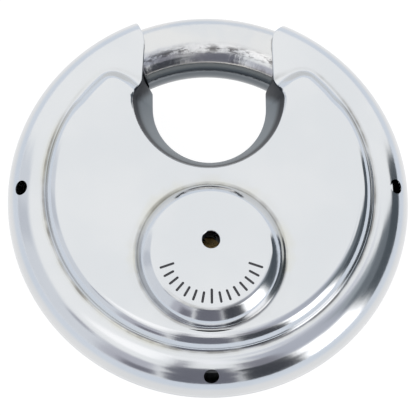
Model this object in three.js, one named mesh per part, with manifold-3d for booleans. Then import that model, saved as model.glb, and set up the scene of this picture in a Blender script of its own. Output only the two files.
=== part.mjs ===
// Disc padlock, 70 mm across, in millimetres, +Z up.
// It lies on the flat of its front boss, key side down, with the shackle towards +Y.
// The origin is the centre of the disc, on the surface that the lock lies on.
import * as THREE from 'three';
import { mergeVertices } from 'three/addons/utils/BufferGeometryUtils.js';
import Module from 'manifold-3d';

const wasm = await Module();
wasm.setup();

// ---- Driving dimensions ----------------------------------------------------------------

const DISC_RADIUS = 35;
const HALF_THICKNESS = 12;         // middle seam to either boss flat
const RIM_WALL = 0.8;              // drawn thin over the round rim
const FACE_WALL = 1.2;             // panel, bosses and notch
const GAP = 0.3;                   // between pieces that nearly touch

const RIM_HALF_WIDTH = 6.1;        // the rim's section is a quarter ellipse, this wide
const RIM_HEIGHT = 6.3;            // and this high above the seam
const RIM_CENTRE = DISC_RADIUS - RIM_HALF_WIDTH;

const PANEL_RADIUS = 28.7;         // foot of the raised crescent panel
const PANEL_HEIGHT = 8.7;          // its flat, above the seam
const PANEL_SLOPE = 3.1;           // width of the rounded step up to the flat
const TIP_RADIUS = 4.2;            // the rounded ends of the crescent
const TIP_CENTRE = new THREE.Vector2(17.4, 17.3);

const BOSS_CENTRE_Y = -12.3;
const REAR_BOSS = { foot: 12.9, flat: 10.3 };
const FRONT_BOSS = { foot: 14.1, flat: 12.9 };

const NOTCH_EDGE = { x: 0, y: 16.7, radius: 14.0 };      // at the panel's flat
const NOTCH_TOP = { x: 0, y: 16.8, radius: 13.0 };       // where the rounded edge ends
const NOTCH_LIP = { x: 0.4, y: 16.9, radius: 10.0, corner: 10.7 };     // at the middle seam
const NOTCH_EDGE_DEPTH = 0.9;
const HORN_END_X = 11.3;           // plane where each horn ends
const HORN_CORNER_Y = 18.9;
const MOUTHS = [[104, 122], [58, 76]];       // arcs that the bar's way out of each horn covers, degrees

const RIM_HOLES = { radius: 1.4, ring: 32.5, height: 5.1, tilt: 36, angles: [1.6, 178.4, 270] };
const SERVICE_HOLE_RADIUS = 1.6;
const FACE_DRILL = { bottom: 5, top: 15 };   // reach of a drill through a boss, above the seam

const SHACKLE_RADIUS = 28.3;       // centre line of the round bar
const SHACKLE_BAR = 5.25;          // radius of the bar
const SHACKLE_FREE_END = 118;      // degrees from +X, inside the left horn
const SHACKLE_TAIL_END = -12;      // degrees from +X, inside the right half of the rim
const TAIL_FLAT_Z = 15.75;
const TAIL_FLAT_ARC = 17;          // degrees

const PLUG_Y = -10.35;             // axis of the key plug
const PLUG_RADIUS = 5.6;
const PLUG_HEAD = { radius: 6.1, bottom: 0.4, top: 2.8 };
const PLUG_TOP = 14.2;
const SPINDLE = { keyed: 2.6, flat: 1.9, round: 1.9, neck: 1.4, top: 17.4 };
const PLUG_CLEARANCE = 0.15;

const HOUSING_RADIUS = 11;
const HOUSING_BOTTOM = 3.0;
const HOUSING_TOP = 14.0;
const HOUSING_FLAT_Y = -22.4;      // sawn flat for the chamber cover

const PIN_COUNT = 4;
const PIN_PITCH = 2.8;
const FIRST_PIN_Z = 4.3;
const PIN_RADIUS = 0.95;
const CHAMBER_RADIUS = 1.1;
const KEY_PIN_LENGTHS = [3.0, 3.6, 2.7, 3.3];
const KEY_PIN_TRAVEL = 1.1;
const DRIVER_LENGTH = 3.1;

const CAM = { bottom: 14.5, top: 15.7, hub: 4.4, end: 2.9 };
const CRANK_LENGTH = 7.4;          // plug axis to crank pin
const CRANK_PIN = { radius: 1.6, top: 17.3 };
const CRANK_ANGLE = -25;           // degrees from +X when locked
const ARM = { bottom: 16.0, top: 17.2, inner: 18.9, outer: 24.3, foot: 29.6 };
const FORK_ANGLE = -64;            // degrees from +X when locked
const FORK = { start: 13.3, end: 18.1, slot: 2.0, width: 4.4 };

// The casting fills the rim where the shackle never goes, between two angles in degrees.
const CASTING = { bottom: 6.6, top: 15.6, step: 7.6, outer: 31.5, from: 122, to: 290 };

const DISC_SEGMENTS = 60;
const SMALL_SEGMENTS = 24;
const RIM_STEPS = 6;

// ---- Helpers ---------------------------------------------------------------------------

const radians = THREE.MathUtils.degToRad;

function polar(radius, degrees) {
  const angle = radians(degrees);
  return new THREE.Vector2(radius * Math.cos(angle), radius * Math.sin(angle));
}

// A closed solid from any closed geometry, with its faces turned outwards.
function solidFrom(geometry) {
  const plain = geometry.clone();
  plain.deleteAttribute('normal');
  plain.deleteAttribute('uv');
  const merged = mergeVertices(plain, 1e-4);
  const source = merged.index.array;
  const position = merged.attributes.position;
  const triangles = [];
  const a = new THREE.Vector3();
  const b = new THREE.Vector3();
  const c = new THREE.Vector3();
  let volume = 0;
  for (let i = 0; i < source.length; i += 3) {
    const [p, q, r] = [source[i], source[i + 1], source[i + 2]];
    if (p === q || q === r || r === p) continue;
    triangles.push(p, q, r);
    a.fromBufferAttribute(position, p);
    b.fromBufferAttribute(position, q);
    c.fromBufferAttribute(position, r);
    volume += a.dot(b.cross(c));
  }
  if (volume < 0) triangles.reverse();
  const mesh = new wasm.Mesh({
    numProp: 3,
    vertProperties: new Float32Array(position.array),
    triVerts: new Uint32Array(triangles),
  });
  return new wasm.Manifold(mesh);
}

function geometryFrom(solid) {
  const mesh = solid.getMesh();
  const geometry = new THREE.BufferGeometry();
  geometry.setAttribute('position', new THREE.BufferAttribute(mesh.vertProperties, 3));
  geometry.setIndex(new THREE.BufferAttribute(mesh.triVerts, 1));
  return geometry;
}

// Turns a profile of [radius, height] points round an upright axis at (x, y).
function turned(profile, x = 0, y = 0, segments = SMALL_SEGMENTS) {
  const points = profile.map(([radius, height]) => new THREE.Vector2(radius, height));
  const geometry = new THREE.LatheGeometry(points, segments);
  geometry.rotateX(Math.PI / 2);
  geometry.translate(x, y, 0);
  return solidFrom(geometry);
}

function disc(radius, bottom, top, x = 0, y = 0, segments = SMALL_SEGMENTS) {
  return turned([[0, bottom], [radius, bottom], [radius, top], [0, top]], x, y, segments);
}

function extruded(shape, bottom, top, curveSegments = 12) {
  const settings = { depth: top - bottom, bevelEnabled: false, curveSegments };
  const geometry = new THREE.ExtrudeGeometry(shape, settings);
  geometry.translate(0, 0, bottom);
  return solidFrom(geometry);
}

function block(xs, ys, zs) {
  const geometry = new THREE.BoxGeometry(xs[1] - xs[0], ys[1] - ys[0], zs[1] - zs[0]);
  geometry.translate((xs[0] + xs[1]) / 2, (ys[0] + ys[1]) / 2, (zs[0] + zs[1]) / 2);
  return solidFrom(geometry);
}

// A flat piece of ring about the disc's axis, between two angles in degrees.
function ringSector(inner, outer, from, to, bottom, top) {
  const shape = new THREE.Shape();
  shape.absarc(0, 0, outer, radians(from), radians(to), false);
  shape.absarc(0, 0, inner, radians(to), radians(from), true);
  shape.closePath();
  return extruded(shape, bottom, top, Math.max(4, Math.round((to - from) / 5)));
}

// Skins a stack of rings that have the same number of [x, y, z] points.
function lofted(rings) {
  const count = rings[0].length;
  const positions = [];
  const indices = [];
  for (const ring of rings) {
    for (const point of ring) positions.push(...point);
  }
  for (let level = 0; level + 1 < rings.length; level += 1) {
    for (let i = 0; i < count; i += 1) {
      const here = level * count + i;
      const next = level * count + (i + 1) % count;
      indices.push(here, next, next + count, here, next + count, here + count);
    }
  }
  const capWith = (ring, offset, flip) => {
    const outline = ring.map(([x, y]) => new THREE.Vector2(x, y));
    for (const face of THREE.ShapeUtils.triangulateShape(outline, [])) {
      const [p, q, r] = face.map((index) => index + offset);
      if (flip) indices.push(p, r, q);
      else indices.push(p, q, r);
    }
  };
  capWith(rings[0], 0, true);
  capWith(rings[rings.length - 1], (rings.length - 1) * count, false);
  const geometry = new THREE.BufferGeometry();
  geometry.setAttribute('position', new THREE.Float32BufferAttribute(positions, 3));
  geometry.setIndex(indices);
  return solidFrom(geometry);
}

class RimPath extends THREE.Curve {
  constructor(radius, from, to, height) {
    super();
    Object.assign(this, { radius, from, to, height });
  }

  getPoint(t, target = new THREE.Vector3()) {
    const point = polar(this.radius, this.from + (this.to - this.from) * t);
    return target.set(point.x, point.y, this.height);
  }
}

// A round bar bent about the disc's axis.
function bentBar(barRadius, from, to, height) {
  const section = new THREE.Shape();
  section.absarc(0, 0, barRadius, 0, 2 * Math.PI, false);
  const geometry = new THREE.ExtrudeGeometry(section, {
    steps: Math.max(4, Math.round(Math.abs(to - from) / 5)),
    curveSegments: 10,
    bevelEnabled: false,
    extrudePath: new RimPath(SHACKLE_RADIUS, from, to, height),
  });
  return solidFrom(geometry);
}

// ---- Materials -------------------------------------------------------------------------

function metal(colour, roughness) {
  return () => new THREE.MeshStandardMaterial({ color: colour, roughness, metalness: 1 });
}

const polishedSteel = metal(0xdfe3e6, 0.12);
const plainSteel = metal(0xa9adb2, 0.35);
const springSteel = metal(0xc4c6c8, 0.3);
const brass = metal(0xc9a14a, 0.28);
const zinc = metal(0x9a9ca0, 0.5);

const padlock = new THREE.Group();

function add(name, solid, material, parent = padlock) {
  const mesh = new THREE.Mesh(geometryFrom(solid), material());
  mesh.name = name;
  parent.add(mesh);
  return mesh;
}

// ---- Shells, made with the seam at z = 0 and the boss up ------------------------------

// Sections of the two steps, as [share of the width, share of the rise].
const PANEL_STEP = [[0, 0], [0.2, 0.45], [0.5, 0.8], [1, 1]];
const BOSS_STEP = [[1, 0], [0.65, 0.25], [0.4, 0.7], [0.2, 0.92], [0, 1]];
const SMALLEST_TIP = 0.05;

// The crescent's outline, moved in by an amount, with round ends beside the notch.
function crescentRing(inset, height) {
  const tipAngle = THREE.MathUtils.radToDeg(Math.atan2(TIP_CENTRE.y, TIP_CENTRE.x));
  const points = [];
  const tipRadius = Math.max(TIP_RADIUS - inset, SMALLEST_TIP);
  const arc = (centre, radius, from, to, steps) => {
    for (let i = 0; i <= steps; i += 1) {
      const point = polar(radius, from + (to - from) * i / steps).add(centre);
      points.push([point.x, point.y, height]);
    }
  };
  const left = new THREE.Vector2(-TIP_CENTRE.x, TIP_CENTRE.y);
  arc(left, tipRadius, 0, 180 - tipAngle - 4, 7);
  arc(new THREE.Vector2(), PANEL_RADIUS - inset, 180 - tipAngle, 360 + tipAngle, 36);
  arc(TIP_CENTRE, tipRadius, tipAngle + 4, 180, 7);
  return points;
}

// Outside of one half, or the hollow inside it when the walls are given.
function halfBody(boss, rimWall, faceWall, floor) {
  const width = RIM_HALF_WIDTH - rimWall;
  const height = RIM_HEIGHT - rimWall;
  const rim = [[0, floor], [RIM_CENTRE + width, floor]];
  for (let i = floor < 0 ? 0 : 1; i <= RIM_STEPS; i += 1) {
    const angle = (Math.PI / 2) * i / RIM_STEPS;
    rim.push([RIM_CENTRE + width * Math.cos(angle), height * Math.sin(angle)]);
  }
  rim.push([0, height]);
  const base = turned(rim, 0, 0, DISC_SEGMENTS);

  const rise = PANEL_HEIGHT - RIM_HEIGHT;
  const panel = lofted([[0, -1], ...PANEL_STEP].map(([across, up]) => (
    crescentRing(faceWall + PANEL_SLOPE * across, PANEL_HEIGHT - faceWall - rise * (1 - up))
  )));

  const bossRise = HALF_THICKNESS - PANEL_HEIGHT;
  const slope = boss.foot - boss.flat;
  const bossProfile = [[1, -0.3], ...BOSS_STEP].map(([across, up]) => (
    [boss.flat - faceWall + slope * across, PANEL_HEIGHT - faceWall + bossRise * up]
  ));
  const first = bossProfile[0];
  const last = bossProfile[bossProfile.length - 1];
  const dome = turned([[0, first[1]], ...bossProfile, [0, last[1]]], 0, BOSS_CENTRE_Y, 36);
  return base.add(panel).add(dome);
}

// The U-shaped tool that cuts the notch, grown by a wall for the hollow.
function notchTool(grow) {
  const ring = ({ x, y, radius }, height, cornerX) => {
    const points = [];
    const steps = 18;
    for (let i = 0; i <= steps; i += 1) {
      const point = polar(radius + grow, 180 + 180 * i / steps);
      points.push([x + point.x, y + point.y, height]);
    }
    const end = HORN_END_X + grow;
    points.push([cornerX + grow, HORN_CORNER_Y + grow, height]);
    points.push([end, HORN_CORNER_Y + 0.5 + grow, height]);
    points.push([end, DISC_RADIUS + 4, height]);
    points.push([-end, DISC_RADIUS + 4, height]);
    points.push([-end, HORN_CORNER_Y + 0.5 + grow, height]);
    points.push([-cornerX - grow, HORN_CORNER_Y + grow, height]);
    return points;
  };
  const outerCorner = HORN_END_X - 0.1;
  return lofted([
    ring(NOTCH_LIP, -2, NOTCH_LIP.corner),
    ring(NOTCH_LIP, 0, NOTCH_LIP.corner),
    ring(NOTCH_TOP, PANEL_HEIGHT - NOTCH_EDGE_DEPTH, outerCorner),
    ring(NOTCH_EDGE, PANEL_HEIGHT, outerCorner),
    ring(NOTCH_EDGE, HALF_THICKNESS + 2, outerCorner),
  ]);
}

function halfShell(boss) {
  const outside = halfBody(boss, 0, 0, 0).subtract(notchTool(0));
  const inside = halfBody(boss, RIM_WALL, FACE_WALL, -1).subtract(notchTool(FACE_WALL));
  let shell = outside.subtract(inside);
  for (const [from, to] of MOUTHS) shell = shell.subtract(bentBar(SHACKLE_BAR + GAP, from, to, 0));
  return shell;
}

// A small hole through the rim, square to its surface.
function rimHoleTool(degrees) {
  const drill = new THREE.CylinderGeometry(RIM_HOLES.radius, RIM_HOLES.radius, 8, 16);
  drill.rotateX(Math.PI / 2);
  drill.rotateY(radians(RIM_HOLES.tilt));
  drill.translate(RIM_HOLES.ring, 0, RIM_HOLES.height);
  drill.rotateZ(radians(degrees));
  return solidFrom(drill);
}

function rearShell() {
  let shell = halfShell(REAR_BOSS);
  for (const angle of RIM_HOLES.angles) shell = shell.subtract(rimHoleTool(angle));
  return shell.subtract(disc(SERVICE_HOLE_RADIUS, FACE_DRILL.bottom, FACE_DRILL.top, 0, PLUG_Y));
}

function frontShell() {
  const radius = PLUG_HEAD.radius + GAP + 0.1;
  const opening = disc(radius, FACE_DRILL.bottom, FACE_DRILL.top, 0, PLUG_Y, 36);
  const geometry = geometryFrom(halfShell(FRONT_BOSS).subtract(opening));
  geometry.scale(1, 1, -1);
  return solidFrom(geometry);
}

const rearMesh = add('rear_shell', rearShell(), polishedSteel);
rearMesh.position.z = HALF_THICKNESS;
const frontMesh = add('front_shell', frontShell(), polishedSteel);
frontMesh.position.z = HALF_THICKNESS;

// ---- Cylinder: housing, plate, plug and pin stacks -------------------------------------

function pinHeight(index) {
  return FIRST_PIN_Z + index * PIN_PITCH;
}

// A round bar laid along Y, from one y to another, at a pin's height.
function barAlongY(radius, from, to, height, segments = 12) {
  const geometry = new THREE.CylinderGeometry(radius, radius, Math.abs(to - from), segments);
  geometry.translate(0, (from + to) / 2, height);
  return solidFrom(geometry);
}

function cylinderHousing() {
  const reach = HOUSING_RADIUS + 1;
  let housing = disc(HOUSING_RADIUS, HOUSING_BOTTOM, HOUSING_TOP, 0, BOSS_CENTRE_Y, 36)
    .subtract(disc(PLUG_RADIUS + PLUG_CLEARANCE, 0, 20, 0, PLUG_Y, 36))
    .subtract(block([-reach, reach], [-30, HOUSING_FLAT_Y], [0, 20]));
  for (let i = 0; i < PIN_COUNT; i += 1) {
    housing = housing.subtract(barAlongY(CHAMBER_RADIUS, -30, PLUG_Y - 4, pinHeight(i)));
  }
  return housing;
}

function antiDrillPlate() {
  return disc(HOUSING_RADIUS, 1.5, 2.7, 0, BOSS_CENTRE_Y, 36)
    .subtract(disc(PLUG_HEAD.radius + GAP, 0, 5, 0, PLUG_Y, 36));
}

function chamberCover() {
  const thickness = 0.7;
  const top = HOUSING_FLAT_Y - 0.1;
  return block([-2.2, 2.2], [top - thickness, top], [HOUSING_BOTTOM + 0.3, HOUSING_TOP - 0.3]);
}

function keyway() {
  const shape = new THREE.Shape();
  const outline = [
    [-1.1, -3.6], [0.5, -3.6], [0.5, -1.2], [1.1, -0.6], [1.1, 1.6], [0.5, 2.2],
    [0.5, 4.4], [-0.7, 4.4], [-0.7, 2.0], [-0.3, 1.4], [-0.3, 0.2], [-1.1, -0.6],
  ];
  shape.setFromPoints(outline.map(([x, y]) => new THREE.Vector2(x, y + PLUG_Y)));
  return extruded(shape, -1, PLUG_TOP - 0.8);
}

function keyPlug() {
  const clipBottom = CAM.top + 0.3;
  const clipTop = clipBottom + 0.6;
  const profile = [
    [0, PLUG_HEAD.bottom], [PLUG_HEAD.radius - 0.3, PLUG_HEAD.bottom],
    [PLUG_HEAD.radius, PLUG_HEAD.bottom + 0.3], [PLUG_HEAD.radius, PLUG_HEAD.top],
    [PLUG_RADIUS, PLUG_HEAD.top], [PLUG_RADIUS, PLUG_TOP], [SPINDLE.keyed, PLUG_TOP],
    [SPINDLE.keyed, CAM.top], [SPINDLE.round, CAM.top], [SPINDLE.round, clipBottom],
    [SPINDLE.neck, clipBottom], [SPINDLE.neck, clipTop], [SPINDLE.round, clipTop],
    [SPINDLE.round, SPINDLE.top], [0, SPINDLE.top],
  ];
  let plug = turned(profile, 0, PLUG_Y, 36).subtract(keyway());
  for (const side of [-1, 1]) {
    const xs = [side * SPINDLE.flat, side * (SPINDLE.flat + 2)].sort((a, b) => a - b);
    plug = plug.subtract(block(xs, [PLUG_Y - 4, PLUG_Y + 4], [PLUG_TOP, CAM.top + 0.1]));
  }
  const deepest = PLUG_Y - PLUG_RADIUS + Math.max(...KEY_PIN_LENGTHS) + KEY_PIN_TRAVEL + GAP;
  for (let i = 0; i < PIN_COUNT; i += 1) {
    plug = plug.subtract(barAlongY(CHAMBER_RADIUS, -20, deepest, pinHeight(i)));
  }
  return plug;
}

// A key pin has a pointed end that rides on the key.
function keyPin(index) {
  const outer = PLUG_Y - PLUG_RADIUS + 0.1;
  const length = KEY_PIN_LENGTHS[index];
  const profile = [
    [0, 0], [PIN_RADIUS, 0], [PIN_RADIUS, length - 0.7], [0.35, length], [0, length],
  ];
  const points = profile.map(([radius, along]) => new THREE.Vector2(radius, along));
  const geometry = new THREE.LatheGeometry(points, 12);
  geometry.translate(0, outer, pinHeight(index));
  return solidFrom(geometry);
}

const SHEAR_LINE_Y = PLUG_Y - PLUG_RADIUS - PLUG_CLEARANCE;

function driverPin(index) {
  return barAlongY(PIN_RADIUS, SHEAR_LINE_Y, SHEAR_LINE_Y - DRIVER_LENGTH, pinHeight(index));
}

class HelixPath extends THREE.Curve {
  constructor(radius, from, to, turns) {
    super();
    Object.assign(this, { radius, from, to, turns });
  }

  getPoint(t, target = new THREE.Vector3()) {
    const point = polar(this.radius, 360 * this.turns * t);
    return target.set(point.x, this.from + (this.to - this.from) * t, point.y);
  }
}

function pinSpring(index) {
  const wire = 0.17;
  const section = new THREE.Shape();
  section.absarc(0, 0, wire, 0, 2 * Math.PI, false);
  const near = SHEAR_LINE_Y - DRIVER_LENGTH - wire - 0.1;
  const far = HOUSING_FLAT_Y + wire + 0.1;
  const geometry = new THREE.ExtrudeGeometry(section, {
    steps: 28,
    curveSegments: 3,
    bevelEnabled: false,
    extrudePath: new HelixPath(0.72, near, far, 4),
  });
  geometry.translate(0, 0, pinHeight(index));
  return solidFrom(geometry);
}

add('cylinder_housing', cylinderHousing(), brass);
add('anti_drill_plate', antiDrillPlate(), plainSteel);
add('chamber_cover', chamberCover(), plainSteel);
add('key_plug', keyPlug(), brass);
for (let i = 0; i < PIN_COUNT; i += 1) {
  add(`key_pin_${i + 1}`, keyPin(i), brass);
  add(`driver_pin_${i + 1}`, driverPin(i), plainSteel);
  add(`pin_spring_${i + 1}`, pinSpring(i), springSteel);
}

// ---- Drive: cam lever, crank pin, clip and the shackle's arm ---------------------------

// Outline round two circles, the hub at the plug's axis and the end at the crank pin.
function camLever() {
  const lean = Math.acos((CAM.hub - CAM.end) / CRANK_LENGTH);
  const shape = new THREE.Shape();
  shape.absarc(0, 0, CAM.hub, lean, 2 * Math.PI - lean, false);
  shape.absarc(CRANK_LENGTH, 0, CAM.end, -lean, lean, false);
  shape.closePath();
  const lever = extruded(shape, CAM.bottom, CAM.top, 16)
    .subtract(disc(CRANK_PIN.radius + 0.1, 10, 20, CRANK_LENGTH, 0));
  const geometry = geometryFrom(lever);
  geometry.rotateZ(radians(CRANK_ANGLE));
  geometry.translate(0, PLUG_Y, 0);
  const flat = SPINDLE.flat + 0.1;
  const keyed = disc(SPINDLE.keyed + 0.1, 10, 20, 0, PLUG_Y)
    .intersect(block([-flat, flat], [-20, 0], [10, 20]));
  return solidFrom(geometry).subtract(keyed);
}

function crankPin() {
  const centre = polar(CRANK_LENGTH, CRANK_ANGLE);
  return disc(CRANK_PIN.radius, CAM.bottom, CRANK_PIN.top, centre.x, centre.y + PLUG_Y);
}

function retainingClip() {
  const bottom = CAM.top + 0.4;
  return disc(3.0, bottom, bottom + 0.4, 0, PLUG_Y)
    .subtract(disc(SPINDLE.neck + 0.1, 0, 30, 0, PLUG_Y))
    .subtract(block([-0.9, 0.9], [PLUG_Y, PLUG_Y + 5], [0, 30]));
}

const RIVET_ANGLES = [-7, 1];
const RIVET = { radius: 1.3, ring: 27.3, bottom: 9.0 };

function driveArm() {
  const tail = SHACKLE_TAIL_END + TAIL_FLAT_ARC - 1;
  const tongue = new THREE.Shape();
  tongue.moveTo(FORK.start, -FORK.width);
  tongue.lineTo(ARM.inner + 2, -FORK.width);
  tongue.lineTo(ARM.inner + 2, FORK.width);
  tongue.lineTo(FORK.start, FORK.width);
  const slot = new THREE.Shape();
  slot.moveTo(10, -FORK.slot);
  slot.lineTo(FORK.end, -FORK.slot);
  slot.absarc(FORK.end, 0, FORK.slot, -Math.PI / 2, Math.PI / 2, false);
  slot.lineTo(10, FORK.slot);
  const along = (shape, bottom, top) => {
    const geometry = geometryFrom(extruded(shape, bottom, top));
    geometry.rotateZ(radians(FORK_ANGLE));
    return solidFrom(geometry);
  };
  let arm = ringSector(ARM.inner, ARM.outer, FORK_ANGLE - 14, tail, ARM.bottom, ARM.top)
    .add(ringSector(ARM.outer - 1, ARM.foot, SHACKLE_TAIL_END + 1, tail, ARM.bottom, ARM.top))
    .add(along(tongue, ARM.bottom, ARM.top))
    .subtract(along(slot, 10, 20));
  for (const angle of RIVET_ANGLES) {
    const { x, y } = polar(RIVET.ring, angle);
    arm = arm.subtract(disc(RIVET.radius + 0.1, 10, 20, x, y));
  }
  return arm;
}

function armRivet(angle) {
  const { x, y } = polar(RIVET.ring, angle);
  return disc(RIVET.radius, RIVET.bottom, ARM.top, x, y);
}

function shackle() {
  let bar = bentBar(SHACKLE_BAR, SHACKLE_TAIL_END, SHACKLE_FREE_END, HALF_THICKNESS);
  const flatEnd = SHACKLE_TAIL_END + TAIL_FLAT_ARC;
  bar = bar.subtract(ringSector(20, 36, SHACKLE_TAIL_END - 5, flatEnd, TAIL_FLAT_Z, 20));
  for (const angle of RIVET_ANGLES) {
    const { x, y } = polar(RIVET.ring, angle);
    bar = bar.subtract(disc(RIVET.radius + 0.1, RIVET.bottom - 0.1, 20, x, y));
  }
  return bar;
}

add('cam_lever', camLever(), plainSteel);
add('crank_pin', crankPin(), plainSteel);
add('retaining_clip', retainingClip(), springSteel);
add('shackle', shackle(), polishedSteel);
add('drive_arm', driveArm(), plainSteel);
RIVET_ANGLES.forEach((angle, index) => {
  add(`arm_rivet_${index + 1}`, armRivet(angle), plainSteel);
});

// ---- Inner body: the casting that holds the cylinder and guides the shackle ------------

function innerBody() {
  const inner = SHACKLE_RADIUS - SHACKLE_BAR - GAP;
  const tool = geometryFrom(notchTool(FACE_WALL + GAP));
  const above = tool.clone().translate(0, 0, HALF_THICKNESS);
  const below = tool.clone().scale(1, 1, -1).translate(0, 0, HALF_THICKNESS);
  return disc(inner, CASTING.bottom, CASTING.top, 0, 0, DISC_SEGMENTS)
    .add(ringSector(inner - 1, CASTING.outer, CASTING.from, CASTING.to, CASTING.step, CASTING.top))
    .subtract(solidFrom(above))
    .subtract(solidFrom(below))
    .subtract(disc(HOUSING_RADIUS + GAP, 0, 24, 0, BOSS_CENTRE_Y, 36));
}

add('inner_body', innerBody(), zinc);

export default padlock;
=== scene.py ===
"""Disc padlock: smooth drawn shells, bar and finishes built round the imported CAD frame."""
import math

import bmesh
import bpy
import numpy as np
from mathutils import Matrix, Vector
from mathutils.geometry import delaunay_2d_cdt


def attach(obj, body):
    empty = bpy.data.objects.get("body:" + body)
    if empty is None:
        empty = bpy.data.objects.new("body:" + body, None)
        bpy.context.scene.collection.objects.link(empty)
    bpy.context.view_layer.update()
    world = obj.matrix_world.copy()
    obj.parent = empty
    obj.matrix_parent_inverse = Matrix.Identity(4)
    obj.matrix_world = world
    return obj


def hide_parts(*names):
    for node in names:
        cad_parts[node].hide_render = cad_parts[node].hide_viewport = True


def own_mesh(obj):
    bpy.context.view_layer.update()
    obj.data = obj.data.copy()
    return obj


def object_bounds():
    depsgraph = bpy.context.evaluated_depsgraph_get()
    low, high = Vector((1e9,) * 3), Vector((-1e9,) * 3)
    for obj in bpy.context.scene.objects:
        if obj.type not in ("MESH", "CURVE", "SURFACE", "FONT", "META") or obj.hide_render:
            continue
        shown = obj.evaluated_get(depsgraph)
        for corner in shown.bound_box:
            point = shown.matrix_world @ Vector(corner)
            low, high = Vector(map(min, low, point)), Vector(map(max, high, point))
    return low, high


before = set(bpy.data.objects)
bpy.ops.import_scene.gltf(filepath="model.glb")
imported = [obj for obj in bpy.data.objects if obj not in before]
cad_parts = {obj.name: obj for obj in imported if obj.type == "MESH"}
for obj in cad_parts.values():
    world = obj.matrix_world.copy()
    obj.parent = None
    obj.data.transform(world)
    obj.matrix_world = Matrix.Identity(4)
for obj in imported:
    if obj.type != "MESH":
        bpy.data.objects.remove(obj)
cad_low, cad_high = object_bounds()

# ---- Driving dimensions, in millimetres and degrees -------------------------------------------------

MM = 0.001
DISC_RADIUS = (cad_high.x - cad_low.x) / 2 / MM
SEAM_Z = (cad_low.z + cad_high.z) / 2 / MM
HALF_THICKNESS = (cad_high.z - cad_low.z) / 2 / MM

RIM_WIDTH = 6.1                # the rim's section is a quarter ellipse
RIM_HEIGHT = 6.3
RIM_INNER = DISC_RADIUS - RIM_WIDTH
SEAM_ROUND = 0.16              # the shells' edges are eased where they meet
WALL = 0.28                    # thinner than the tightest fold, so the inside never doubles back

PANEL_RADIUS = RIM_INNER - 0.2
PANEL_HEIGHT = 8.7
PANEL_SLOPE = 3.1              # width in plan of the step up to the panel
# Sections of steps are (share of the length, slope) points, foot first.
PANEL_SECTION = [(0, 0), (0.06, 25), (0.17, 62), (0.4, 55), (0.6, 41), (0.8, 20), (1, 0)]
TIP_RADIUS = 4.0               # rounded ends of the crescent, towards the rim
TIP_Y = 18.3
TIP_X = math.sqrt((PANEL_RADIUS - TIP_RADIUS) ** 2 - TIP_Y ** 2)
TIP_BEARING = math.degrees(math.atan2(TIP_Y, TIP_X))
TIP_LEAVES = 109               # degrees round the tip where its edge turns straight

NOTCH_Y = 16.7                 # centre of the notch's round part
NOTCH_RADIUS = 14.0
NOTCH_FILLET = 0.95
HORN_X = 11.3                  # plane where the horns end
HORN_FILLET = 0.3
HORN_CORNER_Y = 20.2           # the notch's edge slants out from here
SLANT_END = (13.95, 16.6)      # to here
# The notch at the seam, narrower than on the face.
LIP = {"x": 0.4, "y": 16.9, "radius": 10.0, "top": 21.0}
# How far each horn's end falls back over the rim: how far out from the disc's centre, and by how much.
HORN_EASE = {-1: [(29.0, -0.3), (31.4, 0.0), (32.4, 0.4), (34.0, 0.85), (35.0, 1.25)],
             1: [(29.0, 0.0), (31.2, 0.3), (32.0, 0.65), (33.7, 1.8), (34.3, 2.3), (35.0, 2.6)]}

BOSS_Y = -12.3
REAR_BOSS = (13.0, 9.8)        # radius at the foot and at the flat
FRONT_BOSS = (14.1, 12.9)
BOSS_SECTION = [(0, 0), (0.12, 68), (0.35, 63), (0.48, 45), (0.84, 38), (1, 0)]
FRONT_SECTION = [(0, 0), (0.25, 72), (0.6, 72), (1, 0)]
PLUG_Y = -10.35
SERVICE_HOLE = {"radius": 1.52, "ease": 0.07}
PLUG_OPENING = {"radius": 6.5, "ease": 0.18}
RIM_HOLE = {"radius": 1.3, "angles": (1.6, 178.4, 270.0), "tilt": 36, "ring": 32.5, "height": 5.1}

TICK = {"angles": (199, 341), "count": 15, "short": (7.4, 9.0), "long": (6.8, 9.0), "long_every": 7,
        "half": 0.21, "foot": 0.09, "depth": 0.2}

BAR_RING = 28.3                # centre line of the bent bar
BAR_RADIUS = 5.25
BAR_CLEARANCE = 0.3
BAR_FROM, BAR_TO = -12.0, 118.0
BAR_FLAT = {"z": 15.75, "until": 5.0}   # flat on the tail, where the drive arm lies
BAR_EASE = 1.0                 # rounding of the bar's ends
MOUTH_ARCS = ((100, 120), (60, 80))     # where the bar's bore opens through the horns' ends


# ---- Small mesh toolkit -----------------------------------------------------------------

def polar(radius, degrees):
    angle = np.radians(degrees)
    return np.stack([radius * np.cos(angle), radius * np.sin(angle)], axis=-1)


class Sheet:
    """Vertices and faces collected patch by patch; vertices in one place are shared."""

    def __init__(self):
        self.points = []
        self.faces = []
        self.seen = {}

    def vertex(self, point):
        key = tuple(round(float(v), 4) for v in point)
        if key not in self.seen:
            self.seen[key] = len(self.points)
            self.points.append([float(v) for v in point])
        return self.seen[key]

    def face(self, corners):
        ids = []
        for corner in corners:
            if corner not in ids:
                ids.append(corner)
        if len(ids) > 2:
            self.faces.append(ids)

    def grid(self, rows, closed=False, flip=False):
        """Quads over rows of equal length; closed joins each row's ends."""
        ids = [[self.vertex(p) for p in row] for row in rows]
        count = len(ids[0])
        for low, high in zip(ids[:-1], ids[1:]):
            for i in range(count if closed else count - 1):
                j = (i + 1) % count
                quad = [low[i], low[j], high[j], high[i]]
                self.face(quad[::-1] if flip else quad)


SECTION_STEPS = 240            # fine steps that a section is summed up in
SECTION_SOFTENING = 12         # of those steps, either way
SECTION_ROWS = 20


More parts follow.
